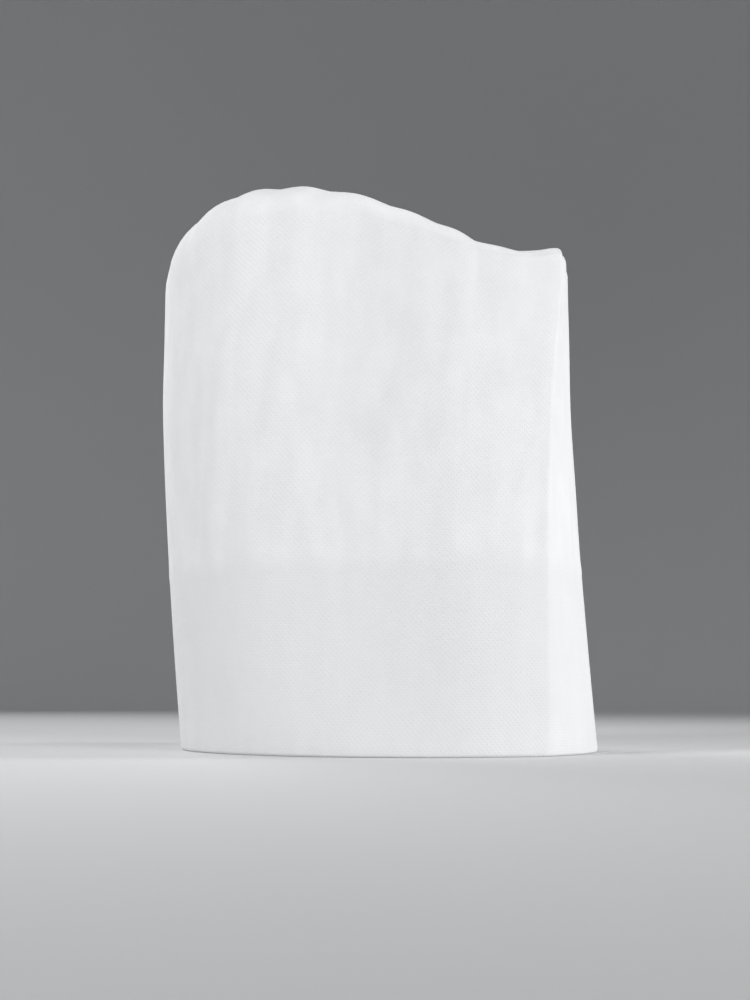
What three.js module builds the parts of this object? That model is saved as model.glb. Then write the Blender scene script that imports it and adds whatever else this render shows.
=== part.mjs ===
// Disposable chef hat of non-woven cloth: an oval tube with a turned-in hem, a lapped seam down the back
// and a top drawn together in soft puckers at one tied point.
// Millimetres, +Z up. The rim stands on z = 0, the wearer faces -Y and the wearer's right side is at -X.
// Places round the hat are angles in degrees from the front crease towards the wearer's right.

import * as THREE from 'three';

// Driving dimensions
const WALL = 1.2;
const GAP = 0.3;
const OVAL = { halfWidth: 82, halfLength: 96 };
const HEM_HEIGHT = 75;
const SEAM_WIDTH_COLUMNS = 4;
const COLUMNS = 112;

// The crown slopes away towards the wearer's back and right, steepest at the rim and upright from top on.
// The rim stands as far the other way from the origin, so that the whole hat is centred over it.
const LEAN = { right: 8.5, back: 5.5, top: 160, ease: 1.5 };
const RIM_CENTRE = { x: 4.1, y: -2.1 };

// The packing fold down the front: an outward edge that fades out to both sides.
// A head opens it at the rim, and it grows crisper between these two heights.
const CREASE = { rimLift: 3, topLift: 7, from: 60, to: 190, halfSpan: 26 };

// The fold drifts across the front as it rises. The angle is measured from the wearer's front.
const CREASE_LINE = [
  { height: 0, angle: 5 },
  { height: 20, angle: 2.5 },
  { height: 80, angle: -2 },
  { height: 146, angle: -6 },
  { height: 191, angle: -11 },
];

// The top edge, from its crisp low corner at the front to its soft high shoulder at the back.
const TOP_EDGE = [
  { angle: 0, height: 204, round: 3 },
  { angle: 12, height: 200, round: 3 },
  { angle: 25, height: 203, round: 6 },
  { angle: 40, height: 211, round: 9 },
  { angle: 55, height: 220, round: 12 },
  { angle: 72, height: 227, round: 14 },
  { angle: 95, height: 232, round: 20 },
  { angle: 131, height: 232, round: 31 },
  { angle: 180, height: 232, round: 36 },
  { angle: 229, height: 232, round: 32 },
  { angle: 265, height: 231, round: 22 },
  { angle: 305, height: 221, round: 13 },
  { angle: 335, height: 208, round: 6 },
  { angle: 351, height: 206, round: 3 },
];

// The valleys between puckers on the wearer's right, how deep each is at the top edge
// and how far it runs down the wall.
const RIGHT_VALLEYS = [
  { angle: 10, depth: 0.5, reach: 60 },
  { angle: 26, depth: 1.2, reach: 110 },
  { angle: 37, depth: 0.7, reach: 70 },
  { angle: 49, depth: 0.9, reach: 90 },
  { angle: 65, depth: 1.2, reach: 105 },
  { angle: 80, depth: 1.0, reach: 90 },
  { angle: 95, depth: 0.9, reach: 75 },
  { angle: 110, depth: 0.9, reach: 65 },
  { angle: 126, depth: 0.9, reach: 60 },
];
// The rest of the way round they come at even steps.
const LEFT_VALLEYS = { count: 14, depth: 1.1, depthSwing: 0.4, reach: 75, reachSwing: 25 };

// On the top the puckers are deeper, but no deeper than this share of their own width,
// which narrows towards the middle.
const TOP_PUCKER = { depth: 3.6, share: 0.24 };

// The middle of the top: the cloth sags to this height and drops into a tied neck.
const NECK = { height: 222, lip: 5, radius: 5.5, depth: 13 };
const TIE = { thickness: 1.6, height: 4, below: 6.5 };

// Rows of the cloth grid: heights of the hem's rows, then shares of each stage of the section
const HEM_ROWS = [0, 25, 50, HEM_HEIGHT];
const WALL_SHARES = [0.26, 0.5, 0.7, 0.86, 1];
const SHOULDER_SHARES = [0.33, 0.67, 1];
const TOP_SHARES = [0.18, 0.4, 0.64, 0.85, 1];
const LIP_SHARES = [0.5, 1];

const RADIANS = Math.PI / 180;

const clamp01 = (value) => Math.min(1, Math.max(0, value));
const mix = (from, to, share) => from + (to - from) * share;
const smooth = (share) => {
  const s = clamp01(share);
  return s * s * (3 - 2 * s);
};

// Straight lines between the rows of a table, level beyond its ends.
function lineThrough(rows, key, at, column) {
  const next = rows.findIndex((row) => row[key] > at);
  if (next === 0) return rows[0][column];
  if (next < 0) return rows[rows.length - 1][column];
  const [low, high] = [rows[next - 1], rows[next]];
  return mix(low[column], high[column], (at - low[key]) / (high[key] - low[key]));
}

// A smooth closed curve through the rows of a table round the hat.
function roundTable(rows, angle, column) {
  const count = rows.length;
  const at = THREE.MathUtils.euclideanModulo(angle, 360);
  const k = rows.findLastIndex((row) => row.angle <= at);
  const row = (step) => {
    const index = k + step;
    const turns = Math.floor(index / count);
    const found = rows[index - turns * count];
    return { angle: found.angle + 360 * turns, value: found[column] };
  };
  const [before, low, high, after] = [row(-1), row(0), row(1), row(2)];
  const width = high.angle - low.angle;
  const s = (at - low.angle) / width;
  const lowSlope = ((high.value - before.value) / (high.angle - before.angle)) * width;
  const highSlope = ((after.value - low.value) / (after.angle - low.angle)) * width;
  return (
    (2 * s ** 3 - 3 * s ** 2 + 1) * low.value +
    (s ** 3 - 2 * s ** 2 + s) * lowSlope +
    (3 * s ** 2 - 2 * s ** 3) * high.value +
    (s ** 3 - s ** 2) * highSlope
  );
}

// All valleys in order round the hat.
const VALLEYS = [...RIGHT_VALLEYS];
const leftStart = RIGHT_VALLEYS.at(-1).angle;
const leftStep = (360 + RIGHT_VALLEYS[0].angle - leftStart) / (LEFT_VALLEYS.count + 1);
for (let k = 1; k <= LEFT_VALLEYS.count; k += 1) {
  VALLEYS.push({
    angle: leftStart + k * leftStep,
    depth: LEFT_VALLEYS.depth + LEFT_VALLEYS.depthSwing * Math.sin(2.3 * k),
    reach: LEFT_VALLEYS.reach + LEFT_VALLEYS.reachSwing * Math.sin(1.7 * k + 1),
  });
}

// How far the angle is into a valley, 0 on the ridge and 1 at its bottom, with the valley's own sizes.
function puckerAt(angle) {
  const at = THREE.MathUtils.euclideanModulo(angle - VALLEYS[0].angle, 360) + VALLEYS[0].angle;
  const k = VALLEYS.findLastIndex((valley) => valley.angle <= at);
  const low = VALLEYS[k];
  const high = VALLEYS[(k + 1) % VALLEYS.length];
  const width = THREE.MathUtils.euclideanModulo(high.angle - low.angle, 360);
  const share = (at - low.angle) / width;
  return {
    fall: 0.5 + 0.5 * Math.cos(2 * Math.PI * share),
    depth: mix(low.depth, high.depth, smooth(share)),
    reach: mix(low.reach, high.reach, smooth(share)),
    width: width * RADIANS,
  };
}

// A point of the oval tube: angle round it, height, and how far inside the outer face.
function tubePoint(angle, height, inside) {
  const drift = (lineThrough(CREASE_LINE, 'height', height, 'angle') * (1 + Math.cos(angle * RADIANS))) / 2;
  const azimuth = (angle + drift) * RADIANS;
  const fromCrease = Math.abs(THREE.MathUtils.euclideanModulo(angle + 180, 360) - 180);
  const crisp = smooth((height - CREASE.from) / (CREASE.to - CREASE.from));
  const creaseLift = mix(CREASE.rimLift, CREASE.topLift, crisp);
  const lift = creaseLift * clamp01(1 - fromCrease / CREASE.halfSpan) ** 2 - inside;
  const lean = 1 - (1 - clamp01(height / LEAN.top)) ** LEAN.ease;
  return new THREE.Vector3(
    RIM_CENTRE.x - LEAN.right * lean - (OVAL.halfWidth + lift) * Math.sin(azimuth),
    RIM_CENTRE.y + LEAN.back * lean - (OVAL.halfLength + lift) * Math.cos(azimuth),
    height,
  );
}

const neckCentre = new THREE.Vector2(RIM_CENTRE.x - LEAN.right, RIM_CENTRE.y + LEAN.back);

function neckPoint(angle, radius, height) {
  return new THREE.Vector3(
    neckCentre.x - radius * Math.sin(angle * RADIANS),
    neckCentre.y - radius * Math.cos(angle * RADIANS),
    height,
  );
}

// The section of the cloth at one angle, as points from the rim up the wall, over the shoulder,
// across the top and down the neck. Inside is how far the face lies within the outer one.
function wallPoint(angle, height, inside) {
  const pucker = puckerAt(angle);
  const wallTop = roundTable(TOP_EDGE, angle, 'height') - roundTable(TOP_EDGE, angle, 'round');
  const run = smooth(1 - (wallTop - height) / pucker.reach);
  return tubePoint(angle, height, inside + pucker.fall * pucker.depth * run);
}

function shoulderPoint(angle, share, inside) {
  const pucker = puckerAt(angle);
  const edge = roundTable(TOP_EDGE, angle, 'height');
  const round = roundTable(TOP_EDGE, angle, 'round');
  const turn = (share * Math.PI) / 2;
  const arc = round - inside - pucker.fall * pucker.depth;
  return tubePoint(angle, edge - round + arc * Math.sin(turn), round - arc * Math.cos(turn));
}

function topPoint(angle, share, inside) {
  const pucker = puckerAt(angle);
  const edge = shoulderPoint(angle, 1, 0);
  const edgeHeight = roundTable(TOP_EDGE, angle, 'height');
  const middle = neckPoint(angle, NECK.radius + NECK.lip, NECK.height);
  const point = edge.clone().lerp(middle, share);
  const radius = Math.hypot(point.x - neckCentre.x, point.y - neckCentre.y);
  const fade = smooth((1 - share) / 0.25);
  const deepest = Math.min(TOP_PUCKER.depth, TOP_PUCKER.share * pucker.width * radius);
  const depth = mix(pucker.depth, deepest, smooth(share / 0.4)) * fade;
  point.z = mix(edgeHeight, NECK.height, smooth(share)) - inside - pucker.fall * depth;
  return point;
}

function lipPoint(angle, share, inside) {
  const turn = (share * Math.PI) / 2;
  const arc = NECK.lip - inside;
  const radius = NECK.radius + NECK.lip - arc * Math.sin(turn);
  return neckPoint(angle, radius, NECK.height - NECK.lip + arc * Math.cos(turn));
}

function clothColumn(angle, inside) {
  const wallTop = roundTable(TOP_EDGE, angle, 'height') - roundTable(TOP_EDGE, angle, 'round');
  return [
    ...HEM_ROWS.map((height) => wallPoint(angle, height, inside)),
    ...WALL_SHARES.map((share) => wallPoint(angle, mix(HEM_HEIGHT, wallTop, share), inside)),
    ...SHOULDER_SHARES.map((share) => shoulderPoint(angle, share, inside)),
    ...TOP_SHARES.map((share) => topPoint(angle, share, inside)),
    ...LIP_SHARES.map((share) => lipPoint(angle, share, inside)),
    neckPoint(angle, NECK.radius + inside, NECK.height - NECK.depth - inside),
    neckPoint(angle, 0, NECK.height - NECK.depth - inside),
  ];
}

// A closed body between an outer and an inner grid of points, both as columns of rows.
// Round the hat the last column joins the first. A pole is a last row that is one point.
function shell(outer, inner, { wraps, pole }) {
  const rows = outer[0].length;
  const columns = outer.length;
  const positions = [...outer, ...inner].flat().flatMap((point) => point.toArray());
  const triangles = [];
  const at = (face, column, row) => {
    const start = face * columns * rows;
    return start + (pole && row === rows - 1 ? 0 : (column % columns) * rows) + row;
  };
  const quad = (a, b, c, d) => {
    if (a !== b && b !== c) triangles.push(a, b, c);
    if (c !== d && d !== a) triangles.push(a, c, d);
  };
  const steps = wraps ? columns : columns - 1;
  for (let i = 0; i < steps; i += 1) {
    for (let j = 0; j < rows - 1; j += 1) {
      quad(at(0, i, j), at(0, i, j + 1), at(0, i + 1, j + 1), at(0, i + 1, j));
      quad(at(1, i, j), at(1, i + 1, j), at(1, i + 1, j + 1), at(1, i, j + 1));
    }
    quad(at(0, i, 0), at(0, i + 1, 0), at(1, i + 1, 0), at(1, i, 0));
    if (!pole) quad(at(1, i, rows - 1), at(1, i + 1, rows - 1), at(0, i + 1, rows - 1), at(0, i, rows - 1));
  }
  if (!wraps) {
    const last = columns - 1;
    for (let j = 0; j < rows - 1; j += 1) {
      quad(at(0, 0, j), at(1, 0, j), at(1, 0, j + 1), at(0, 0, j + 1));
      quad(at(0, last, j), at(0, last, j + 1), at(1, last, j + 1), at(1, last, j));
    }
  }
  const geometry = new THREE.BufferGeometry();
  geometry.setAttribute('position', new THREE.Float32BufferAttribute(positions, 3));
  geometry.setIndex(triangles);
  geometry.computeVertexNormals();
  return geometry;
}

const cloth = { color: 0xf0f1f3, roughness: 0.95, metalness: 0 };
const hat = new THREE.Group();

function addPiece(name, geometry, finish) {
  const mesh = new THREE.Mesh(geometry, new THREE.MeshStandardMaterial(finish));
  mesh.name = name;
  hat.add(mesh);
  return mesh;
}

const angles = (count) => Array.from({ length: count }, (_, k) => (k * 360) / count);

// The tube and its gathered top, one cloth.
function addCrown() {
  const face = (inside) => angles(COLUMNS).map((angle) => clothColumn(angle, inside));
  addPiece('crown', shell(face(0), face(WALL), { wraps: true, pole: true }), cloth);
}

// The hem's turned-up layer, inside the tube.
function addHemBand() {
  const face = (inside) =>
    angles(COLUMNS / 2).map((angle) => HEM_ROWS.map((height) => tubePoint(angle, height, inside)));
  addPiece('hem_band', shell(face(WALL + GAP), face(2 * WALL + GAP), { wraps: true, pole: false }), cloth);
}

// The lap of the tube's seam, outside at the back, from the rim to the shoulder.
function addBackSeam() {
  const step = 360 / COLUMNS;
  const first = 180 - (SEAM_WIDTH_COLUMNS / 2) * step;
  const wallRows = HEM_ROWS.length + WALL_SHARES.length;
  const face = (inside) =>
    Array.from({ length: SEAM_WIDTH_COLUMNS + 1 }, (_, k) =>
      clothColumn(first + k * step, inside).slice(0, wallRows),
    );
  addPiece('back_seam', shell(face(-GAP - WALL), face(-GAP), { wraps: false, pole: false }), cloth);
}

// The thread ring that holds the gathers, round the neck under the top.
function addGatherTie() {
  const inner = NECK.radius + WALL + GAP;
  const outer = inner + TIE.thickness;
  const top = NECK.height - TIE.below;
  const bottom = top - TIE.height;
  const corner = TIE.thickness / 3;
  const profile = [
    [inner, bottom],
    [outer - corner, bottom],
    [outer, bottom + corner],
    [outer, top - corner],
    [outer - corner, top],
    [inner, top],
    [inner, bottom],
  ].map(([radius, height]) => new THREE.Vector2(radius, height));
  const ring = new THREE.LatheGeometry(profile, 24);
  const mesh = addPiece('gather_tie', ring, { color: 0xe9eaec, roughness: 0.8, metalness: 0 });
  mesh.rotation.x = Math.PI / 2;
  mesh.position.set(neckCentre.x, neckCentre.y, 0);
}

addCrown();
addHemBand();
addBackSeam();
addGatherTie();

export default hat;
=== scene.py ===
"""Looks of a disposable chef hat of white non-woven cloth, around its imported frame.

The hat is one cloth surface: an oval tube that is folded up inside at the rim, leans a little, has a
packing fold down its front, and is gathered over a soft shoulder to a tied neck in the middle of the top.
All sizes are metres. Angles are degrees round the hat, from the front fold towards the wearer's right,
and an angle named turn is in radians.
"""

import logging
import math
from dataclasses import dataclass
from enum import Enum
from typing import NamedTuple

import bpy
import numpy as np
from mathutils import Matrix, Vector


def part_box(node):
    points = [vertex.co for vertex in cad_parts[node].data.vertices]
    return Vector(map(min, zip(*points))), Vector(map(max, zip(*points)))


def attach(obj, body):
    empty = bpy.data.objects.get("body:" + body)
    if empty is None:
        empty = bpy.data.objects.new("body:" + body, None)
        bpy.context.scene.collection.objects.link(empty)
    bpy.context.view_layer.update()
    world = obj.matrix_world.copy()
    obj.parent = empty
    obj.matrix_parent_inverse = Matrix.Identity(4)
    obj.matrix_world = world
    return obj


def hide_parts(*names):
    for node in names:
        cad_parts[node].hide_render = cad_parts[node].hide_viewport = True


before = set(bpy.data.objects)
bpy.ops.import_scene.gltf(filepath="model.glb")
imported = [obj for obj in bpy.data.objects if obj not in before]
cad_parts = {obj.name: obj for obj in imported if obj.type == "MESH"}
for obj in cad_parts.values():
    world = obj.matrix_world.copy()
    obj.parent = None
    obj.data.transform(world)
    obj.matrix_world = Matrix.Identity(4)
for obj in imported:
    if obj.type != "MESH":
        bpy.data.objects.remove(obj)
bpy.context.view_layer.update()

LOG = logging.getLogger("chef_hat")
MM = 0.001
Colour = tuple[float, float, float, float]
Numbers = np.ndarray | float
Settings = dict[str, object]
Inputs = dict[str | int, object]


# Shader expressions


class Wire:
    """One output socket in a material, with Python's operators as Math nodes."""

    def __init__(self, bench: "Bench", socket: bpy.types.NodeSocket) -> None:
        """Keeps the bench that makes nodes and the socket that this wire starts from."""
        self.bench = bench
        self.socket = socket

    def _math(self, operation: str, *values: "Wire | float") -> "Wire":
        """Adds a Math node.

        Args:
            operation: The Math node's operation.
            values: Its inputs in order, wires or numbers.

        Returns:
            The node's value.
        """
        return self.bench.node("ShaderNodeMath", {"operation": operation}, dict(enumerate(values)))

    def __add__(self, other: "Wire | float") -> "Wire":
        """The sum."""
        return self._math("ADD", self, other)

    def __radd__(self, other: float) -> "Wire":
        """The sum, with the number first."""
        return self._math("ADD", other, self)

    def __sub__(self, other: "Wire | float") -> "Wire":
        """The difference."""
        return self._math("SUBTRACT", self, other)

    def __rsub__(self, other: float) -> "Wire":
        """The difference, with the number first."""
        return self._math("SUBTRACT", other, self)

    def __mul__(self, other: "Wire | float") -> "Wire":
        """The product."""
        return self._math("MULTIPLY", self, other)

    def __rmul__(self, other: float) -> "Wire":
        """The product, with the number first."""
        return self._math("MULTIPLY", other, self)

    def cosine(self) -> "Wire":
        """The cosine of an angle in radians."""
        return self._math("COSINE", self)

    def soft_step(self, low: float, high: float) -> "Wire":
        """A soft step from 0 at low to 1 at high."""
        settings = {"interpolation_type": "SMOOTHSTEP"}
        return self.bench.node("ShaderNodeMapRange", settings, {"Value": self, 1: low, 2: high})


class Grain(NamedTuple):
    """How a noise runs: cycles a metre along each axis, the degrees that it is turned by, and its octaves."""

    stretch: tuple[float, float, float]
    turned: float
    detail: float


class Bench:
    """Makes one material's nodes."""

    def __init__(self, name: str) -> None:
        """Starts an empty material.

        Args:
            name: The material's name.
        """
        self.material = bpy.data.materials.new(name)
        self.material.use_nodes = True
        self.tree = self.material.node_tree
        self.tree.nodes.clear()

    def make(self, kind: str, settings: Settings, inputs: Inputs) -> bpy.types.Node:
        """Adds any node.

        Args:
            kind: The node's type name.
            settings: Its settings, which are set first.
            inputs: Values or wires of its sockets, by name or number.

        Returns:
            The node.
        """
        made = self.tree.nodes.new(kind)
        for key, value in settings.items():
            setattr(made, key, value)
        for key, value in inputs.items():
            if isinstance(value, Wire):
                self.tree.links.new(value.socket, made.inputs[key])
            else:
                made.inputs[key].default_value = value
        return made

    def node(self, kind: str, settings: Settings, inputs: Inputs, output: str | int = 0) -> Wire:
        """Adds any node and gives the output that is wanted."""
        return Wire(self, self.make(kind, settings, inputs).outputs[output])

    def cloth(self) -> Wire:
        """The place on the flat cloth, in metres across and along it."""
        return self.node("ShaderNodeUVMap", {"uv_map": "cloth"}, {})

    def space(self) -> Wire:
        """The place in the piece's own frame, in metres."""
        return self.node("ShaderNodeTexCoord", {}, {}, "Object")

    def part(self, place: Wire, axis: int) -> Wire:
        """One of a place's three numbers."""
        return self.node("ShaderNodeSeparateXYZ", {}, {0: place}, axis)

    def blend(self, factor: Wire, low: Colour | Wire, high: Colour | Wire) -> Wire:
        """Mixes two colours.

        Args:
            factor: 0 for the first colour, 1 for the second.
            low: The first colour.
            high: The second colour.

        Returns:
            The mixed colour.
        """
        return self.node("ShaderNodeMix", {"data_type": "RGBA"}, {0: factor, 6: low, 7: high}, 2)

    def noise(self, place: Wire, grain: Grain) -> Wire:
        """Soft noise on turned and stretched coordinates.

        Args:
            place: The coordinates.
            grain: How the noise runs.

        Returns:
            Values round 0.5.
        """
        angles = (0.0, 0.0, math.radians(grain.turned))
        inputs = {"Vector": place, "Rotation": angles}
        turned = self.node("ShaderNodeMapping", {"vector_type": "POINT"}, inputs)
        inputs = {0: turned, 1: grain.stretch}
        scaled = self.node("ShaderNodeVectorMath", {"operation": "MULTIPLY"}, inputs)
        inputs = {"Vector": scaled, "Scale": 1.0, "Detail": grain.detail}
        return self.node("ShaderNodeTexNoise", {"noise_dimensions": "3D"}, inputs)

    def bump(self, height: Wire, rise: float, below: Wire | None = None) -> Wire:
        """Tilts the surface by a relief.

        Args:
            height: The relief, between 0 and 1.
            rise: The metres that a height of 1 stands for.
            below: The normal of a relief that this one lies on.

        Returns:
            The normal.
        """
        inputs = {"Strength": 1.0, "Distance": rise, "Height": height}
        if below is not None:
            inputs["Normal"] = below
        return self.node("ShaderNodeBump", {}, inputs)

    def finish(self, inputs: Inputs) -> bpy.types.Material:
        """Ends the material in one Principled shader.

        Args:
            inputs: Values or wires of the shader's sockets.

        Returns:
            The material.
        """
        shader = self.node("ShaderNodeBsdfPrincipled", {}, inputs)
        self.make("ShaderNodeOutputMaterial", {}, {"Surface": shader})
        return self.material


# Finishes


@dataclass(frozen=True)
class NonWoven:
    """Spun-bonded cloth: a felt of fine fibres pressed together at staggered points.

    A share says how much of the way from shade to tint comes from that kind of unevenness, and an
    edge gives the two values that its soft step runs between. Below hem_top the colour is painted
    darker as painted shade over the two-layer hem, and there is none where hem_top is 0.
    """

    name: str
    tint: Colour = (0.892, 0.894, 0.897, 1.0)
    shade: Colour = (0.826, 0.829, 0.834, 1.0)
    # painted shade: the darker colour drawn below the hem's top
    painted_shade_colour: Colour = (0.800, 0.803, 0.808, 1.0)
    bond_pitch: float = 2.1 * MM
    bond_rise: float = 0.07 * MM
    bond_edge: tuple[float, float] = (0.35, 0.9)
    bond_share: float = 0.14
    bond_gloss: float = 0.2
    fibre_rise: float = 0.09 * MM
    leaning: Grain = Grain((450.0, 2600.0, 1.0), 34.0, 3.0)
    crossing: Grain = Grain((450.0, 2600.0, 1.0), -41.0, 3.0)
    streaks: Grain = Grain((105.0, 34.0, 1.0), 0.0, 1.0)
    streak_edge: tuple[float, float] = (0.32, 0.68)
    streak_share: float = 0.45
    clouds: Grain = Grain((75.0, 75.0, 1.0), 0.0, 2.0)
    cloud_share: float = 0.25
    cloud_gloss: float = 0.06
    specks: Grain = Grain((620.0, 620.0, 1.0), 12.0, 2.0)
    speck_share: float = 0.16
    soft_edge: tuple[float, float] = (0.3, 0.7)
    roughness: float = 0.9
    hem_top: float = 0.0
    # painted shade: how far towards the darker colour the cloth below the hem's top is drawn
    painted_shade_share: float = 0.55
    hem_blur: float = 6.0 * MM
    hem_sway: float = 16.0 * MM
    hem_line: Grain = Grain((22.0, 22.0, 8.0), 0.0, 2.0)

    def material(self) -> bpy.types.Material:
        """Builds the cloth.

        The bond points are where cos(2 pi u / p) cos(2 pi v / p) is near 1, which sets them in
        staggered rows. Fibres are two noises that are stretched across each other. The cloth was
        spun in one direction, so its weight varies in soft upright streaks, with some clouds and
        specks. Below the hem's top the colour is blended darker: painted shade.

        Returns:
            The material.
        """
        bench = Bench(self.name)
        cloth = bench.cloth()
        pace = 2.0 * math.pi / self.bond_pitch
        across = (bench.part(cloth, 0) * pace).cosine()
        along = (bench.part(cloth, 1) * pace).cosine()
        bonds = (across * along).soft_step(*self.bond_edge)
        fibres = (bench.noise(cloth, self.leaning) + bench.noise(cloth, self.crossing)) * 0.5
        clouds = bench.noise(cloth, self.clouds)
        tone = bench.noise(cloth, self.streaks).soft_step(*self.streak_edge) * self.streak_share
        tone = tone + clouds.soft_step(*self.soft_edge) * self.cloud_share
        tone = tone + bench.noise(cloth, self.specks).soft_step(*self.soft_edge) * self.speck_share
        tone = tone + (1.0 - bonds) * self.bond_share
        colour = bench.blend(tone, self.shade, self.tint)
        # Painted shade: below the hem's top, with a soft ragged edge, the colour is blended darker.
        if self.hem_top:
            space = bench.space()
            ragged = bench.noise(space, self.hem_line) * self.hem_sway - 0.5 * self.hem_sway
            height = bench.part(space, 2) + ragged
            above_painted_shade = height.soft_step(self.hem_top - self.hem_blur, self.hem_top + self.hem_blur)
            colour = bench.blend((1.0 - above_painted_shade) * self.painted_shade_share, colour, self.painted_shade_colour)
        felt = bench.bump(fibres, self.fibre_rise)
        return bench.finish(
            {
                "Base Color": colour,
                "Roughness": self.roughness - bonds * self.bond_gloss - clouds * self.cloud_gloss,
                "Specular IOR Level": 0.25,
                "Sheen Weight": 0.12,
                "Sheen Roughness": 0.5,
                "Normal": bench.bump(1.0 - bonds, self.bond_rise, felt),
            }
        )


@dataclass(frozen=True)
class Thread:
    """Twisted white sewing thread."""

    name: str
    tint: Colour = (0.80, 0.80, 0.79, 1.0)
    # shade is painted shade: the colour of the grooves between the plies
    shade: Colour = (0.60, 0.60, 0.60, 1.0)
    plies: int = 2
    twist_pitch: float = 1.1 * MM
    ply_rise: float = 0.08 * MM

    def material(self) -> bpy.types.Material:
        """Builds the thread.

        Its slanting plies are where cos(2 pi (length / pitch + plies girth)) is high, girth being a
        share of the way round it. The low grooves between them are painted darker, as painted shade.

        Returns:
            The material.
        """
        bench = Bench(self.name)
        cloth = bench.cloth()
        girth = bench.part(cloth, 0) * (2.0 * math.pi * self.plies)
        length = bench.part(cloth, 1) * (2.0 * math.pi / self.twist_pitch)
        ply = (length + girth).cosine() * 0.5 + 0.5
        # Painted shade: the colour darkens towards shade where ply is low, in the grooves.
        return bench.finish(
            {
                "Base Color": bench.blend(ply, self.shade, self.tint),
                "Roughness": 0.7 + ply * 0.15,
                "Sheen Weight": 0.2,
                "Normal": bench.bump(ply, self.ply_rise),
            }
        )


@dataclass(frozen=True)
class Paper:
    """Plain matt studio paper for the floor and its upswept rim."""

    name: str
    tint: Colour = (0.70, 0.705, 0.71, 1.0)
    darkest: float = 0.97
    clouds: Grain = Grain((1.5, 1.5, 1.5), 0.0, 2.0)

    def material(self) -> bpy.types.Material:
        """Builds the paper, with a slow, very faint cloudiness.

        Returns:
            The material.
        """
        bench = Bench(self.name)
        clouds = bench.noise(bench.space(), self.clouds)
        red, green, blue = (self.darkest * part for part in self.tint[:3])
        colour = bench.blend(clouds, (red, green, blue, 1.0), self.tint)
        return bench.finish({"Base Color": colour, "Roughness": 0.85 + clouds * 0.05})


# Cloth surfaces


def smooth(share: Numbers) -> np.ndarray:
    """The soft step 3 s^2 - 2 s^3, level outside 0 to 1."""
    s = np.clip(share, 0.0, 1.0)
    return s * s * (3.0 - 2.0 * s)


def mix(low: Numbers, high: Numbers, share: Numbers) -> Numbers:
    """The value at that share of the way from low to high."""
    return low + (high - low) * share


def run_along(points: np.ndarray) -> np.ndarray:
    """The way from the first row of a grid to each row, as the mean over its columns."""
    steps = np.linalg.norm(np.diff(points, axis=0), axis=-1).mean(axis=1)
    return np.concatenate([[0.0], np.cumsum(steps)])


def corner_places(corners: list[tuple[np.ndarray, np.ndarray]]) -> np.ndarray:
    """The places on the cloth of each face's corners, one after the other."""
    return np.stack([np.stack(corner, axis=-1) for corner in corners], axis=-2).reshape(-1, 2)


@dataclass(frozen=True)
class Lattice:
    """A grid of points, rows by columns, that becomes one mesh.

    Faces look along row step x column step. With wraps the last column joins the first, and with
    pole the last row is one point.
    """

    points: np.ndarray
    across: np.ndarray
    along: np.ndarray
    wraps: bool = True
    pole: bool = False

    def mesh(self, name: str) -> bpy.types.Object:
        """Makes the object, smooth shaded, with its place on the cloth as the UV map, in metres.

        A face of four corners spans each pair of rows and columns. A fan of three-cornered faces
        closes the pole, and its tip lies half a column on.

        Args:
            name: The object's name.

        Returns:
            The object, linked to the scene.
        """
        rows, columns = self.points.shape[:2]
        steps = columns if self.wraps else columns - 1
        full = rows - 1 if self.pole else rows
        row, column = np.meshgrid(np.arange(full - 1), np.arange(steps), indexing="ij")
        after = (column + 1) % columns
        low, high = row * columns, (row + 1) * columns
        quads = np.stack([low + column, high + column, high + after, low + after], axis=-1).reshape(-1, 4)
        sides = np.append(self.across, self.across[-1] * 2 - self.across[-2])
        left, right = sides[column], sides[column + 1]
        below, above = self.along[row], self.along[row + 1]
        uvs = corner_places([(left, below), (left, above), (right, above), (right, below)])
        faces = quads.tolist()
        points = self.points[:full].reshape(-1, 3)
        if self.pole:
            around = np.arange(steps)
            start = (full - 1) * columns
            tip = np.full(steps, len(points))
            faces += np.stack([start + around, tip, start + (around + 1) % columns], axis=-1).tolist()
            points = np.vstack([points, self.points[-1, :1]])
            foot, end = np.full(steps, self.along[-2]), np.full(steps, self.along[-1])
            middle = self.across + 0.5 * (self.across[1] - self.across[0])
            uvs = np.vstack([uvs, corner_places([(sides[:-1], foot), (middle, end), (sides[1:], foot)])])
        made = bpy.data.meshes.new(name)
        made.from_pydata(points.tolist(), [], faces)
        made.uv_layers.new(name="cloth").data.foreach_set("uv", uvs.astype(np.float32).ravel())
        made.polygons.foreach_set("use_smooth", np.ones(len(faces), dtype=bool))
        made.update()
        piece = bpy.data.objects.new(name, made)
        bpy.context.scene.collection.objects.link(piece)
        return piece


def thicken(piece: bpy.types.Object, thickness: float) -> None:
    """Gives a cloth its thickness on the side away from its faces.

    Args:
        piece: The cloth.
        thickness: Its thickness in metres.
    """
    wall = piece.modifiers.new("thickness", "SOLIDIFY")
    wall.thickness = thickness
    wall.offset = -1.0
    wall.use_rim = True


def dress(piece: bpy.types.Object, material: bpy.types.Material, slot: str, *nodes: str) -> None:
    """Gives a piece its finish, its body and the frame's nodes that it stands for.

    Args:
        piece: The piece.
        material: Its finish.
        slot: The record's material slot; not used.
        nodes: The frame's nodes that it replaces.
    """
    piece.data.materials.append(material)
    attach(piece, "root")
    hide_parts(*nodes)
    LOG.info("%s: %d points, replaces %s", piece.name, len(piece.data.vertices), ", ".join(nodes))


# Form of the hat


class Crest(NamedTuple):
    """The top edge at one angle: its height and the radius of its shoulder."""

    angle: float
    height: float
    round: float


class Valley(NamedTuple):
    """A valley between two puckers: its place, depth at the top edge and run down the wall."""

    angle: float
    depth: float
    reach: float


class Drift(NamedTuple):
    """Where the front fold is at one height, as an angle from the wearer's front."""

    height: float
    angle: float


class Dent(NamedTuple):
    """A soft dent in the wall: its middle, half width, half height and depth, out if negative."""

    angle: float
    height: float
    width: float
    tall: float
    depth: float


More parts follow.
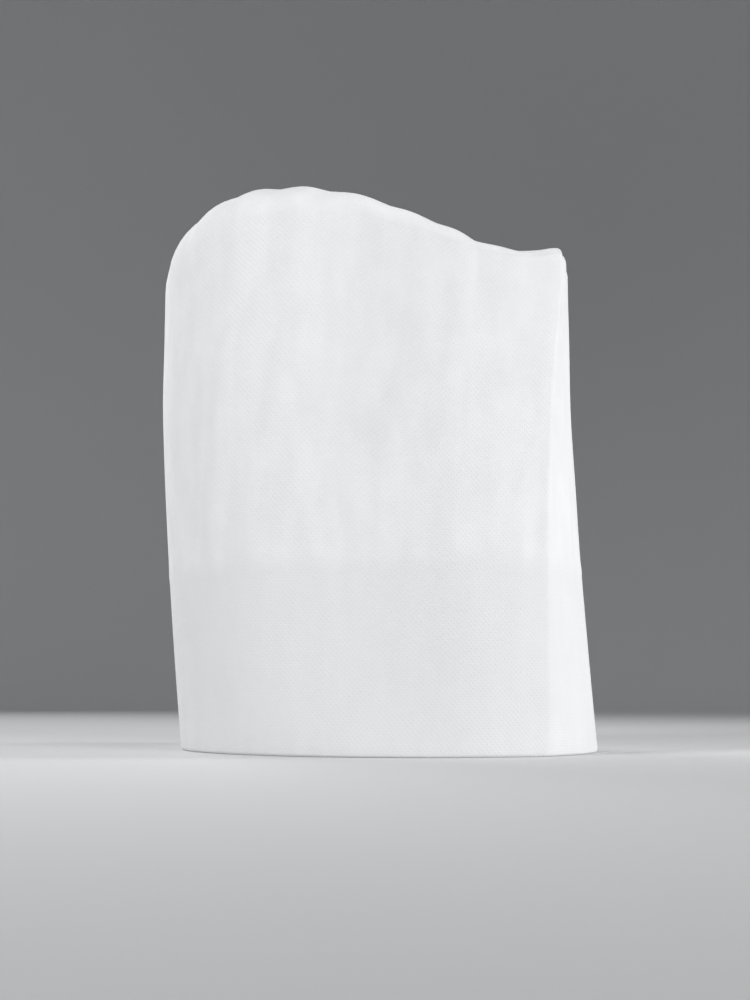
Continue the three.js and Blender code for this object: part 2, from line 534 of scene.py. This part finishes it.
class Wave(NamedTuple):
    """Even waves round the hat: their depth, number, start, and twist for each metre up."""

    depth: float
    count: int
    start: float
    twist: float = 0.0

    def at(self, turn: np.ndarray, height: Numbers = 0.0) -> np.ndarray:
        """Their value, depth sin(count turn + start + twist height)."""
        return self.depth * np.sin(self.count * turn + self.start + self.twist * height)


class Swing(NamedTuple):
    """A value that swings round its mean from one valley to the next."""

    mean: float
    swing: float
    step: float
    start: float

    def at(self, number: int) -> float:
        """Its value, mean + swing sin(step number + start)."""
        return self.mean + self.swing * math.sin(self.step * number + self.start)


TOP_EDGE = (
    Crest(0, 0.204, 0.003),
    Crest(12, 0.200, 0.003),
    Crest(25, 0.203, 0.006),
    Crest(40, 0.211, 0.009),
    Crest(55, 0.220, 0.012),
    Crest(72, 0.227, 0.014),
    Crest(95, 0.232, 0.020),
    Crest(131, 0.232, 0.031),
    Crest(180, 0.232, 0.036),
    Crest(229, 0.232, 0.032),
    Crest(265, 0.231, 0.022),
    Crest(305, 0.221, 0.013),
    Crest(335, 0.208, 0.006),
    Crest(351, 0.206, 0.003),
)

RIGHT_VALLEYS = (
    Valley(10, 0.0005, 0.060),
    Valley(26, 0.0012, 0.110),
    Valley(37, 0.0007, 0.070),
    Valley(49, 0.0009, 0.090),
    Valley(65, 0.0012, 0.105),
    Valley(80, 0.0010, 0.090),
    Valley(95, 0.0009, 0.075),
    Valley(110, 0.0009, 0.065),
    Valley(126, 0.0009, 0.060),
)

FOLD_LINE = (
    Drift(0.000, 5.0),
    Drift(0.020, 2.5),
    Drift(0.080, -2.0),
    Drift(0.146, -6.0),
    Drift(0.191, -11.0),
)

DENTS = (
    Dent(104, 0.098, 5, 0.034, 0.0011),
    Dent(93, 0.100, 4, 0.026, -0.0007),
    Dent(45, 0.112, 5, 0.026, 0.0009),
    Dent(22, 0.096, 6, 0.022, 0.0008),
    Dent(70, 0.118, 7, 0.030, -0.0006),
    Dent(4, 0.088, 3, 0.014, 0.0006),
    Dent(150, 0.120, 9, 0.036, 0.0010),
    Dent(214, 0.105, 8, 0.040, 0.0010),
    Dent(252, 0.128, 6, 0.030, -0.0008),
    Dent(290, 0.108, 7, 0.034, 0.0011),
    Dent(330, 0.120, 5, 0.032, 0.0008),
)

WALL_WAVES = (
    Wave(0.45 * MM, 7, 1.3, 9.0),
    Wave(0.35 * MM, 12, 0.4, -14.0),
    Wave(0.22 * MM, 19, 2.1, 22.0),
)


def closed_curve(angles: list[float], values: list[float], at: np.ndarray) -> np.ndarray:
    """A smooth closed curve through values at some angles round the hat.

    Each stretch is the cubic whose end slopes are those of the chords across the neighbours.

    Args:
        angles: The angles in order, from 0 to under 360.
        values: The value at each.
        at: Angles in degrees.

    Returns:
        The curve's values at those angles.
    """
    once = np.array(angles, float)
    angle = np.concatenate([once[-2:] - 360.0, once, once[:3] + 360.0])
    value = np.array(values[-2:] + values + values[:3])
    turned = np.mod(at, 360.0)
    k = np.searchsorted(angle, turned, side="right") - 1
    width = angle[k + 1] - angle[k]
    s = (turned - angle[k]) / width
    low = (value[k + 1] - value[k - 1]) / (angle[k + 1] - angle[k - 1]) * width
    high = (value[k + 2] - value[k]) / (angle[k + 2] - angle[k]) * width
    return (
        (2 * s**3 - 3 * s**2 + 1) * value[k]
        + (s**3 - 2 * s**2 + s) * low
        + (3 * s**2 - 2 * s**3) * value[k + 1]
        + (s**3 - s**2) * high
    )


class Layer(Enum):
    """The cloth's two layers at the hem.

    Each has its share of the half circle that joins them at the rim, in radians.
    """

    INNER = (0.0, 0.49 * math.pi)
    OUTER = (0.5 * math.pi, math.pi)


class Gather(NamedTuple):
    """The gathers at some angles.

    fall goes from 0 on a ridge to 1 in a valley, depth and reach are the valleys' there, and width
    is the angle between the two valleys, in radians.
    """

    fall: np.ndarray
    depth: np.ndarray
    reach: np.ndarray
    width: np.ndarray


@dataclass(frozen=True)
class LeftValleys:
    """The valleys from the last of the table round to its first, which come at even steps."""

    count: int = 14
    depth: Swing = Swing(1.1 * MM, 0.4 * MM, 2.3, 0.0)
    reach: Swing = Swing(0.075, 0.025, 1.7, 1.0)

    def rows(self) -> tuple[Valley, ...]:
        """Works out each valley, whose depth and reach swing round their means.

        Returns:
            The valleys in order.
        """
        last = RIGHT_VALLEYS[-1].angle
        step = (360.0 + RIGHT_VALLEYS[0].angle - last) / (self.count + 1)
        numbers = range(1, self.count + 1)
        return tuple(Valley(last + k * step, self.depth.at(k), self.reach.at(k)) for k in numbers)


@dataclass(frozen=True)
class Pleats:
    """The finer pleats that run between the valleys of the top."""

    count: int = 61
    depth: float = 0.5 * MM
    sway: Wave = Wave(2.0, 5, 0.0)
    swell: Wave = Wave(0.4, 9, 1.0)
    start: float = 0.1
    fade_in: float = 0.4
    fade_out: float = 0.15

    def fall(self, turn: np.ndarray, share: np.ndarray) -> np.ndarray:
        """How far the pleats lie below the plain top.

        They are a sine whose phase sways, so that they crowd and spread, and whose depth swells
        and sinks on the way round. They fade in past the shoulder and out before the neck.

        Args:
            turn: Angles in radians.
            share: Share of the way across the top.

        Returns:
            The depths.
        """
        pleat = np.sin(self.count * turn + self.sway.at(turn))
        swell = 1.0 - self.swell.depth + self.swell.at(turn)
        fade = smooth((share - self.start) / self.fade_in) * smooth((1.0 - share) / self.fade_out)
        return self.depth * pleat * swell * fade


@dataclass(frozen=True)
class HatForm:
    """The one surface that every cloth piece of the hat lies on."""

    # Tube
    half_width: float = 0.082
    half_length: float = 0.096
    rim: tuple[float, float] = (0.0041, -0.0021)
    lean: tuple[float, float] = (-0.0085, 0.0055)
    lean_top: float = 0.160
    lean_ease: float = 1.5
    fold_lift: tuple[float, float] = (0.003, 0.007)
    fold_rise: tuple[float, float] = (0.060, 0.190)
    fold_span: float = 26.0
    girth: float = 0.560
    # Hem and rim
    hem_top: float = 0.075
    hem_ridge: float = 0.22 * MM
    hem_ridge_width: float = 2.2 * MM
    roll: float = 1.15 * MM
    rim_wave: Wave = Wave(0.22 * MM, 5, 0.8)
    bend_rows: int = 5
    # Where the wall hangs loose
    still_run: float = 0.020
    stiff_run: float = 0.045
    stiff_share: float = 0.25
    # Gathers at the shoulder
    gather_hold: float = 0.5
    pinch: float = 0.4
    pinch_power: float = 0.85
    left_valleys: LeftValleys = LeftValleys()
    # Neck
    neck_height: float = 0.222
    neck_lip: float = 0.005
    neck_radius: float = 0.0055
    neck_depth: float = 0.013
    # Gathered top
    top_depth: float = 0.0042
    top_steepness: float = 0.30
    top_pinch: float = 0.8
    top_pinch_run: float = 0.35
    top_deepen_run: float = 0.4
    top_fade_run: float = 0.2
    top_sway: float = 1.6
    top_sway_run: float = 5.0
    top_sways: int = 3
    pleats: Pleats = Pleats()

    def once_round(self, columns: int) -> np.ndarray:
        """Even angles once round, from the back, where the seam covers the join of the cloth's pattern."""
        return 180.0 + np.arange(columns) * 360.0 / columns

    def across(self, at: np.ndarray) -> np.ndarray:
        """The way along the girth from the first of some angles to each."""
        return (at - at[0]) / 360.0 * self.girth

    def edge_height(self, at: np.ndarray) -> np.ndarray:
        """The top edge's height."""
        return closed_curve([crest.angle for crest in TOP_EDGE], [crest.height for crest in TOP_EDGE], at)

    def edge_round(self, at: np.ndarray) -> np.ndarray:
        """The radius of the shoulder below the top edge."""
        return closed_curve([crest.angle for crest in TOP_EDGE], [crest.round for crest in TOP_EDGE], at)

    def wall_top(self, at: np.ndarray) -> np.ndarray:
        """The height at which the wall turns into the shoulder."""
        return self.edge_height(at) - self.edge_round(at)

    def gathers(self, at: np.ndarray, sharpness: Numbers) -> Gather:
        """The gathers at some angles.

        Between two valleys the fall is a cosine where sharpness is 0, and 1 - |sin|^power where it
        is 1, which has a round ridge and a pinched valley.

        Args:
            at: Angles in degrees.
            sharpness: How pinched the valleys are there.

        Returns:
            The gathers.
        """
        valleys = RIGHT_VALLEYS + self.left_valleys.rows()
        angle = np.array([valley.angle for valley in valleys] + [valleys[0].angle + 360.0])
        depth = np.array([valley.depth for valley in valleys] + [valleys[0].depth])
        reach = np.array([valley.reach for valley in valleys] + [valleys[0].reach])
        turned = np.mod(at - angle[0], 360.0) + angle[0]
        k = np.clip(np.searchsorted(angle, turned, side="right") - 1, 0, len(valleys) - 1)
        width = angle[k + 1] - angle[k]
        share = (turned - angle[k]) / width
        soft = 0.5 + 0.5 * np.cos(2 * np.pi * share)
        pinched = 1.0 - np.abs(np.sin(np.pi * share)) ** self.pinch_power
        ease = smooth(share)
        return Gather(
            fall=mix(soft, pinched, sharpness),
            depth=mix(depth[k], depth[k + 1], ease),
            reach=mix(reach[k], reach[k + 1], ease),
            width=np.radians(width),
        )

    def tube(self, at: np.ndarray, height: np.ndarray, inside: np.ndarray) -> np.ndarray:
        """Points of the oval tube.

        The section is an ellipse whose half axes lose what lies inside. The front fold adds a lift
        that falls from the fold as (1 - angle / span)^2, which leaves an edge there, and that grows
        by a soft step between two heights. The section turns with the fold's drift, most at the
        front and not at all at the back, and its middle moves along the lean, fastest at the rim
        and not at all from the lean's top on.

        Args:
            at: Angles in degrees.
            height: Heights.
            inside: Depths inside the outer face.

        Returns:
            The points, with x, y and z last.
        """
        at, height, inside = np.broadcast_arrays(at, height, inside)
        drift = np.interp(height, [row.height for row in FOLD_LINE], [row.angle for row in FOLD_LINE])
        turn = np.radians(at + drift * (1.0 + np.cos(np.radians(at))) / 2.0)
        from_fold = np.abs(np.mod(at + 180.0, 360.0) - 180.0)
        low, high = self.fold_rise
        fold = mix(*self.fold_lift, smooth((height - low) / (high - low)))
        lift = fold * np.clip(1.0 - from_fold / self.fold_span, 0.0, 1.0) ** 2 - inside
        lean = 1.0 - (1.0 - np.clip(height / self.lean_top, 0.0, 1.0)) ** self.lean_ease
        x = self.rim[0] + self.lean[0] * lean - (self.half_width + lift) * np.sin(turn)
        y = self.rim[1] + self.lean[1] * lean - (self.half_length + lift) * np.cos(turn)
        return np.stack([x, y, height], axis=-1)

    def slack(self, at: np.ndarray, height: np.ndarray) -> np.ndarray:
        """How far the loose wall lies in from the plain tube.

        It sums waves round the hat, which start above the rim and grow above the stiff hem, the
        table's dents as bell shapes, and the faint ridge that the hem's upper edge presses through
        the cloth.

        Args:
            at: Angles in degrees.
            height: Heights.

        Returns:
            Depths, out if negative.
        """
        turn = np.radians(at)
        free = mix(self.stiff_share, 1.0, smooth((height - self.hem_top) / self.stiff_run))
        total = sum(wave.at(turn, height) for wave in WALL_WAVES) * free * smooth(height / self.still_run)
        for dent in DENTS:
            aside = (np.mod(at - dent.angle + 180.0, 360.0) - 180.0) / dent.width
            above = (height - dent.height) / dent.tall
            total = total + dent.depth * np.exp(-(aside**2) - above**2)
        ridge = self.hem_ridge * np.exp(-(((height - self.hem_top) / self.hem_ridge_width) ** 2))
        return total - ridge

    def wall(self, at: np.ndarray, height: np.ndarray) -> np.ndarray:
        """Points of the wall, with its slack and the lower ends of the puckers.

        A valley's depth grows by a soft step over its reach below the shoulder, and the gathers
        hold back part of the slack there.

        Args:
            at: Angles in degrees.
            height: Heights.

        Returns:
            The points.
        """
        up = smooth(1.0 - (self.wall_top(at) - height) / self.gathers(at, 0.0).reach)
        gather = self.gathers(at, self.pinch * up)
        slack = self.slack(at, height) * (1.0 - self.gather_hold * up)
        return self.tube(at, height, gather.fall * gather.depth * up + slack)

    def shoulder(self, at: np.ndarray, share: np.ndarray) -> np.ndarray:
        """Points of the shoulder: a quarter round whose radius shrinks in the valleys.

        Args:
            at: Angles in degrees.
            share: Share of the quarter turn, 0 at the wall and 1 at the top.

        Returns:
            The points.
        """
        bend = self.edge_round(at)
        foot = self.wall_top(at)
        gather = self.gathers(at, self.pinch)
        slack = self.slack(at, foot) * (1.0 - self.gather_hold) * (1.0 - share)
        arc = bend - gather.fall * gather.depth - slack
        turn = share * np.pi / 2.0
        return self.tube(at, foot + arc * np.sin(turn), bend - arc * np.cos(turn))

    def rim_bend(self, at: np.ndarray, layer: Layer) -> np.ndarray:
        """Points of the fold at the rim, a half circle from the inner layer down and round to the wall.

        Args:
            at: Angles in degrees.
            layer: The layer whose share of the half circle is wanted.

        Returns:
            The points, from the inside outwards.
        """
        turn = np.linspace(*layer.value, self.bend_rows)[:, None]
        lift = self.rim_wave.depth + self.rim_wave.at(np.radians(at))
        dip = 1.0 - np.sin(turn)
        return self.tube(at, (self.roll + lift) * dip, self.roll * (1.0 + np.cos(turn)))

    def neck_middle(self) -> tuple[float, float]:
        """Where the neck's middle stands."""
        return self.rim[0] + self.lean[0], self.rim[1] + self.lean[1]

    def neck(self, at: np.ndarray, radius: Numbers, height: Numbers) -> np.ndarray:
        """Points on a circle round the neck's middle.

        Args:
            at: Angles in degrees.
            radius: Radii.
            height: Heights.

        Returns:
            The points.
        """
        at, radius, height = np.broadcast_arrays(at, radius, height)
        x, y = self.neck_middle()
        turn = np.radians(at)
        return np.stack([x - radius * np.sin(turn), y - radius * np.cos(turn), height], axis=-1)

    def top(self, at: np.ndarray, share: np.ndarray) -> np.ndarray:
        """Points of the gathered top, from the shoulder to the neck's lip.

        The plan runs straight from the shoulder's end to the lip. The height follows a soft step
        between them, less the valleys and pleats. A valley sways a little, and it is at most a set
        share of its own width deep, so it narrows and flattens towards the middle.

        Args:
            at: Angles in degrees.
            share: Share of the way, 0 at the shoulder.

        Returns:
            The points.
        """
        start = self.shoulder(at, np.ones_like(share))
        end = self.neck(at, self.neck_radius + self.neck_lip, self.neck_height)
        points = mix(start, end, share[..., None])
        radius = np.linalg.norm(points[..., :2] - np.array(self.neck_middle()), axis=-1)
        sway = np.sin(self.top_sway_run * share + np.radians(self.top_sways * at)) * share * (1.0 - share)
        swayed = at + self.top_sway * sway
        pinch = mix(self.pinch, self.top_pinch, smooth(share / self.top_pinch_run))
        gather = self.gathers(swayed, pinch)
        deepest = np.minimum(self.top_depth, self.top_steepness * gather.width * radius)
        depth = mix(self.gathers(at, pinch).depth, deepest, smooth(share / self.top_deepen_run))
        valleys = gather.fall * depth * smooth((1.0 - share) / self.top_fade_run)
        plain = mix(self.edge_height(at), self.neck_height, smooth(share))
        points[..., 2] = plain - valleys - self.pleats.fall(np.radians(swayed), share)
        return points

    def skin(self, at: np.ndarray, foot: np.ndarray, rows: tuple[int, int, int], reach: float) -> np.ndarray:
        """The cloth's outer face from near the rim up the wall, over the shoulder and across the top.

        Args:
            at: Angles, one row of columns.
            foot: Heights that the wall starts at, one row of columns.
            rows: Steps up the wall, over the shoulder and across the top.
            reach: Share of the way across the top that it goes.

        Returns:
            The points, rows by columns, without the first row at the foot.
        """
        up, over, across = (np.linspace(0.0, 1.0, count + 1)[1:, None] + 0.0 * at for count in rows)
        wall = self.wall(at + 0.0 * up, mix(foot, self.wall_top(at), up))
        shoulder = self.shoulder(at + 0.0 * over, over)
        top = self.top(at + 0.0 * across, across * reach)
        return np.concatenate([wall, shoulder, top])


# Pieces of the hat


@dataclass
class Crown:
    """The tube, its rolled rim and its gathered top: one cloth."""

    form: HatForm
    finish: NonWoven
    columns: int = 400
    rows: tuple[int, int, int] = (60, 12, 26)
    thickness: float = 0.5 * MM
    neck_rows: int = 4
    bunches: int = 23
    bunch_depth: float = 0.35 * MM
    bunch_sway: Wave = Wave(1.0, 3, 0.0)
    closing: tuple[float, float, float] = (0.6, 0.25, 0.0)
    closing_sag: float = 0.8 * MM

    def neck(self, at: np.ndarray) -> np.ndarray:
        """The neck: a quarter-round lip, a bunched throat and its closed end.

        Args:
            at: Angles, one row of columns.

        Returns:
            The points, rows by columns, with a pole last.
        """
        form = self.form
        turn = np.radians(at)
        bunch = self.bunch_depth * np.cos(self.bunches * turn + self.bunch_sway.at(turn))
        share = np.linspace(0.0, 1.0, self.neck_rows + 1)[1:, None]
        over, down = np.sin(share * np.pi / 2.0), np.cos(share * np.pi / 2.0)
        lip_radius = form.neck_radius + form.neck_lip * (1.0 - over) + bunch * over
        lip = form.neck(at, lip_radius, form.neck_height - form.neck_lip * (1.0 - down))
        floor = form.neck_height - form.neck_depth
        throat_height = mix(form.neck_height - form.neck_lip, floor, share)
        throat = form.neck(at, form.neck_radius + bunch, throat_height)
        close = np.array(self.closing)[:, None]
        end = form.neck(at, (form.neck_radius + bunch) * close, floor - self.closing_sag * (1.0 - close))
        return np.concatenate([lip, throat, end])

    def build(self) -> bpy.types.Object:
        """Joins the stretches of the surface into one lattice and dresses it.

        Returns:
            The crown.
        """
        at = self.form.once_round(self.columns)
        roll = self.form.rim_bend(at, Layer.OUTER)
        skin = self.form.skin(at, roll[-1, :, 2], self.rows, 1.0)
        points = np.concatenate([roll, skin, self.neck(at)])
        piece = Lattice(points, self.form.across(at), run_along(points), pole=True).mesh("crown_cloth")
        thicken(piece, self.thickness)
        dress(piece, self.finish.material(), "nonwoven", "crown")
        return piece


@dataclass
class HemBand:
    """The hem's turned-up layer, inside the tube, whose upper part stands a little loose."""

    form: HatForm
    finish: NonWoven
    columns: int = 400
    rows: int = 28
    thickness: float = 0.5 * MM
    edge_waves: tuple[Wave, Wave] = (Wave(0.5 * MM, 4, 0.5), Wave(0.3 * MM, 11, 0.0))
    gape: Wave = Wave(0.4 * MM, 6, 2.0)
    loose_share: float = 0.3

    def build(self) -> bpy.types.Object:
        """Makes the band, from its slightly wavy, loose upper edge down to the bottom of the rim's fold.

        It lies two rolls inside the tube, and its upper share gapes further, by waves that grow
        towards the edge.

        Returns:
            The band.
        """
        form = self.form
        at = form.once_round(self.columns)
        turn = np.radians(at)
        bend = form.rim_bend(at, Layer.INNER)
        edge = form.hem_top + sum(wave.at(turn) for wave in self.edge_waves)
        share = np.linspace(1.0, 0.0, self.rows + 1)[:-1, None]
        free = smooth((share - 1.0) / self.loose_share + 1.0)
        loose = free * (self.gape.depth + self.gape.at(turn))
        band = form.tube(at, mix(bend[0, :, 2], edge, share), 2.0 * form.roll + loose)
        points = np.concatenate([band, bend])
        piece = Lattice(points, form.across(at), run_along(points)).mesh("hem_cloth")
        thicken(piece, self.thickness)
        dress(piece, self.finish.material(), "nonwoven_hem", "hem_band")
        return piece


@dataclass
class BackSeam:
    """The lap of the tube's seam: a strip with one cut edge, one covered step and two weld rows."""

    form: HatForm
    finish: NonWoven
    width: float = 0.014
    foot: float = 1.3 * MM
    reach: float = 0.86
    rise: float = 0.5 * MM
    sink: float = 0.04 * MM
    cut_run: float = 0.3 * MM
    covered_run: float = 2.0 * MM
    weld_rows: tuple[float, float] = (-4.2 * MM, 3.2 * MM)
    weld_pitch: float = 4.0 * MM
    weld_depth: float = 0.22 * MM
    weld_size: tuple[float, float] = (0.7 * MM, 1.1 * MM)
    columns: int = 49
    rows: tuple[int, int, int] = (330, 60, 130)
    thickness: float = 0.3 * MM

    def relief(self, aside: np.ndarray, along: np.ndarray) -> np.ndarray:
        """How far the lap stands off the crown.

        It rises in a short run at the cut edge and in a long one at the covered edge, less the
        weld points, which are bell-shaped dimples at an even pitch along two rows.

        Args:
            aside: Distances from the seam's middle.
            along: Distances along the seam.

        Returns:
            The lap's face above the crown.
        """
        half = self.width / 2.0
        body = smooth((aside + half) / self.cut_run) * smooth((half - aside) / self.covered_run)
        phase = (np.mod(along / self.weld_pitch, 1.0) - 0.5) * self.weld_pitch
        wide, tall = self.weld_size
        welds = sum(np.exp(-(((aside - row) / wide) ** 2) - (phase / tall) ** 2) for row in self.weld_rows)
        return self.rise * body - self.weld_depth * welds - self.sink

    def build(self) -> bpy.types.Object:
        """Makes the strip from the rim up the wall, over the shoulder and into the gathers.

        It is the crown's face at the back, moved out along its normal by the relief.

        Returns:
            The strip.
        """
        aside = np.linspace(-self.width / 2.0, self.width / 2.0, self.columns)
        at = 180.0 + aside / self.form.girth * 360.0
        base = self.form.skin(at, np.full_like(at, self.foot), self.rows, self.reach)
        normal = np.cross(np.gradient(base, axis=0), np.gradient(base, axis=1))
        normal /= np.linalg.norm(normal, axis=-1, keepdims=True)
        along = run_along(base)
        points = base + normal * self.relief(aside[None, :], along[:, None])[..., None]
        piece = Lattice(points, aside + self.form.girth / 2.0, along, wraps=False).mesh("back_seam_cloth")
        thicken(piece, self.thickness)
        dress(piece, self.finish.material(), "nonwoven_lap", "back_seam")
        return piece


@dataclass
class GatherTie:
    """Thread wound round the neck under the top, with its two cut ends."""

    form: HatForm
    finish: Thread
    turns: float = 3.0
    radius: float = 0.55 * MM
    clearance: float = 1.5 * MM
    slub: Wave = Wave(0.08 * MM, 9, 0.0)
    end_share: float = 0.06
    end_splay: float = 1.1 * MM
    end_hang: float = 4.0 * MM
    end_taper: float = 0.02
    sides: int = 10
    steps: int = 240

    def path(self) -> np.ndarray:
        """The thread's line: a flat helix round the neck whose two ends turn away and hang down.

        Returns:
            The points of the line.
        """
        low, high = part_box("gather_tie")
        share = np.linspace(0.0, 1.0, self.steps)
        turn = share * self.turns * 2.0 * np.pi
        height = mix(low[2] + self.radius, high[2] - self.radius, smooth(share))
        to_end = np.minimum(share, 1.0 - share)
        free = smooth(1.0 - to_end / self.end_share)
        inner = self.form.neck_radius + self.clearance + self.radius
        reach = inner + self.end_splay * free + self.slub.at(turn)
        x, y = self.form.neck_middle()
        hanging = height - self.end_hang * free**2
        return np.stack([x + reach * np.cos(turn), y + reach * np.sin(turn), hanging], axis=-1)

    def build(self) -> bpy.types.Object:
        """Sweeps a round section along the thread's line.

        The section lies across the line's tangent, on the sideways direction square to it and up.

        Returns:
            The thread.
        """
        path = self.path()
        tangent = np.gradient(path, axis=0)
        tangent /= np.linalg.norm(tangent, axis=1, keepdims=True)
        side = np.cross(tangent, np.array([0.0, 0.0, 1.0]))
        side /= np.linalg.norm(side, axis=1, keepdims=True)
        over = np.cross(side, tangent)
        share = np.arange(self.sides) / self.sides
        turn = 2.0 * np.pi * share
        radius = np.full(self.steps, self.radius)
        radius[[0, -1]] *= self.end_taper
        ring = side[:, None] * np.cos(turn)[None, :, None] + over[:, None] * np.sin(turn)[None, :, None]
        points = path[:, None] + ring * radius[:, None, None]
        piece = Lattice(points, share, run_along(path[:, None])).mesh("gather_thread")
        dress(piece, self.finish.material(), "thread", "gather_tie")
        return piece


# Studio


class Lamp(NamedTuple):
    """One soft square light.

    aside is in degrees from the camera's side to its right and rise in degrees up from the floor.
    away, size and aim are in metres, aim being the height that it looks at, and power is in watts.
    """

    name: str
    aside: float
    rise: float
    away: float
    size: float
    power: float
    aim: float


LAMPS = (
    Lamp("key", 90, 17, 1.6, 0.5, 1.93, 0.11),
    Lamp("front", 36, 18, 1.7, 0.7, 1.78, 0.11),
    Lamp("side", -52, 20, 1.3, 0.5, 1.70, 0.27),
    Lamp("behind", -150, 20, 1.7, 0.8, 2.10, 0.18),
)


def direction(azimuth: float, rise: float) -> Vector:
    """The way to an azimuth from the wearer's front and a height angle, both in degrees."""
    aside, up = math.radians(azimuth), math.radians(rise)
    return Vector((math.sin(aside) * math.cos(up), -math.cos(aside) * math.cos(up), math.sin(up)))


def hang(name: str, data: bpy.types.ID, place: Vector, look: Vector) -> bpy.types.Object:
    """Puts a light or a camera into the scene.

    Args:
        name: The object's name.
        data: The light or camera.
        place: Where it is.
        look: The way that it looks.

    Returns:
        The object.
    """
    holder = bpy.data.objects.new(name, data)
    holder.location = place
    holder.rotation_euler = look.to_track_quat("-Z", "Y").to_euler()
    bpy.context.scene.collection.objects.link(holder)
    return holder


@dataclass
class Studio:
    """A pale floor that sweeps up all round, soft lights, and the camera."""

    paper: Paper
    first_ring: float = 0.02
    floor_radius: float = 1.5
    sweep: float = 0.9
    wall: float = 1.6
    flat_rows: int = 24
    sweep_rows: int = 16
    columns: int = 96
    distance: float = 0.70
    azimuth: float = -43.0
    camera_height: float = 0.025
    aim: float = 0.108
    lens: float = 58.0
    sensor: float = 36.0
    spread: float = 70.0
    sky: Colour = (0.97, 0.98, 1.0, 1.0)
    sky_strength: float = 0.30

    def floor(self) -> None:
        """Makes the floor: a disc, a quarter-round sweep and an upright wall, turned round the hat."""
        turn = np.linspace(0.0, np.pi / 2.0, self.sweep_rows + 1)[1:]
        flat = np.linspace(self.first_ring, self.floor_radius, self.flat_rows)
        edge = self.floor_radius + self.sweep
        radius = np.concatenate([flat, self.floor_radius + self.sweep * np.sin(turn), [edge, edge]])
        upright = self.sweep + self.wall * np.array([0.5, 1.0])
        height = np.concatenate([0.0 * flat, self.sweep * (1.0 - np.cos(turn)), upright])
        angle = np.arange(self.columns) * 2.0 * np.pi / self.columns
        x = radius[:, None] * np.cos(angle)
        y = radius[:, None] * np.sin(angle)
        rings = np.stack([x, y, height[:, None] + 0.0 * x], axis=-1)[::-1]
        points = np.concatenate([rings, np.zeros((1, self.columns, 3))])
        piece = Lattice(points, angle, run_along(points), pole=True).mesh("floor")
        piece.data.materials.append(self.paper.material())

    def light(self, lamp: Lamp) -> None:
        """Hangs one square soft light that looks at the hat, with most of the floor outside its spread.

        Args:
            lamp: The light's place, size and power.
        """
        light = bpy.data.lights.new(lamp.name, "AREA")
        light.shape = "SQUARE"
        light.size = lamp.size
        light.energy = lamp.power
        light.spread = math.radians(self.spread)
        away = direction(self.azimuth + lamp.aside, lamp.rise)
        hang(lamp.name, light, away * lamp.away + Vector((0.0, 0.0, lamp.aim)), -away)

    def camera(self) -> None:
        """Sets the camera low in front of the wearer's right, just above the floor."""
        eye = bpy.data.cameras.new("camera")
        eye.lens = self.lens
        eye.sensor_width = self.sensor
        place = direction(self.azimuth, 0.0) * self.distance + Vector((0.0, 0.0, self.camera_height))
        bpy.context.scene.camera = hang("camera", eye, place, Vector((0.0, 0.0, self.aim)) - place)

    def build(self) -> None:
        """Sets floor, lights, camera and the colour of the surroundings."""
        self.floor()
        self.camera()
        for lamp in LAMPS:
            self.light(lamp)
        world = bpy.data.worlds.new("surroundings")
        world.use_nodes = True
        background = world.node_tree.nodes["Background"]
        background.inputs["Color"].default_value = self.sky
        background.inputs["Strength"].default_value = self.sky_strength
        bpy.context.scene.world = world
        bpy.context.scene.view_settings.view_transform = "Standard"


def main() -> None:
    """Builds the hat and the studio in order."""
    logging.basicConfig(level=logging.INFO, format="%(name)s %(message)s")
    form = HatForm(hem_top=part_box("hem_band")[1][2])
    crown = Crown(form, NonWoven("nonwoven_cloth", hem_top=form.hem_top)).build()
    hem = HemBand(form, NonWoven("nonwoven_hem_cloth")).build()
    seam = BackSeam(form, NonWoven("nonwoven_lap_cloth", hem_top=form.hem_top)).build()
    tie = GatherTie(form, Thread("white_thread")).build()
    Studio(Paper("studio_paper")).build()


if __name__ == "__main__":
    main()
